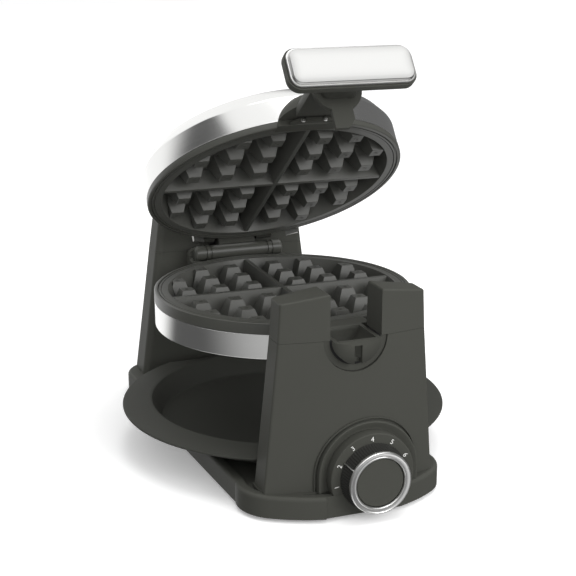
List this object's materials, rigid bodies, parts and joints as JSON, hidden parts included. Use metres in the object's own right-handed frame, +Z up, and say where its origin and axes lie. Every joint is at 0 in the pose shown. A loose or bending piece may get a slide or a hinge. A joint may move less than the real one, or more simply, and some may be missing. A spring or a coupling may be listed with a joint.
{
  "type": "rotating waffle maker",
  "caption": "Countertop waffle maker: round grid plates with a hinged lid turn over in a cradle between two towers, above a slide-out drip tray, with a temperature dial.",
  "frame": {"origin": "on the table, midway between the front of the knob and the back of the base, in the plane of the turning axis", "axes": "+Z up, -Y towards the user (the dial and the handle), +X to the user's right"},
  "size_m": [0.267, 0.354, 0.339],
  "materials": {
    "body_plastic": "fine matt moulding, dark warm grey",
    "inner_plastic": "matt black",
    "dial_print": "matt with white numbers and strokes",
    "rubber": "matt",
    "steel": "brushed round the band",
    "plate_coated": "satin non-stick coating",
    "plated_steel": "bright zinc",
    "silver": "satin silver"
  },
  "bodies": {
    "stand": {"base_shell": "body_plastic", "bottom_cover": "inner_plastic", "rubber_feet": "rubber", "cover_screws": "plated_steel", "tower_screws": "plated_steel", "front_tower": "body_plastic", "front_tower_cap": "body_plastic", "cradle_liner": "inner_plastic", "rear_tower": "body_plastic", "rear_tower_cap": "body_plastic", "rear_bearing": "inner_plastic", "lead_gland": "body_plastic", "terminal_block": "inner_plastic", "dial_housing": "body_plastic", "dial_plate": "dial_print", "thermostat_bracket": "plated_steel", "thermostat": "plated_steel"},
    "rotor": {"lower_bezel": "body_plastic", "lower_cover": "steel", "lower_grid_plate": "plate_coated", "lower_grid_studs": "plate_coated", "lower_heater": "plated_steel", "lower_reflector": "plated_steel", "lower_plate_screws": "plated_steel", "lower_trunnion": "body_plastic", "trunnion_screws": "plated_steel", "rear_yoke": "body_plastic", "hinge_barrel": "body_plastic", "hinge_pin": "plated_steel"},
    "lid": {"lid_bezel": "body_plastic", "lid_cover": "steel", "lid_grid_plate": "plate_coated", "lid_grid_studs": "plate_coated", "lid_heater": "plated_steel", "lid_reflector": "plated_steel", "lid_plate_screws": "plated_steel", "lid_hinge_arms": "body_plastic", "lid_clips": "plated_steel", "lid_bracket": "body_plastic", "lid_bracket_screws": "plated_steel", "handle_neck": "body_plastic", "handle_grip": "body_plastic", "handle_plate": "silver", "handle_screws": "plated_steel"},
    "dial": {"knob": "body_plastic", "knob_ring": "silver", "knob_pointer": "silver", "thermostat_spindle": "plated_steel"},
    "tray": {"drip_tray": "plate_coated"}
  },
  "joints": [
    {"name": "flip", "type": "hinge", "parent": "stand", "child": "rotor", "pos_m": [0, 0, 0.1344], "axis": [0, 1, 0], "range_deg": [0, 80]},
    {"name": "lid_hinge", "type": "hinge", "parent": "rotor", "child": "lid", "pos_m": [0, 0.127, 0.148], "axis": [-1, 0, 0], "range_deg": [-36.7, 28]},
    {"name": "knob_turn", "type": "hinge", "parent": "stand", "child": "dial", "pos_m": [0.01, -0.17, 0.031], "axis": [0, 1, 0], "range_deg": [-66, 116]},
    {"name": "tray_slide", "type": "slide", "parent": "stand", "child": "tray", "axis": [1, 0, 0], "range_m": [0, 0.27]}
  ]
}
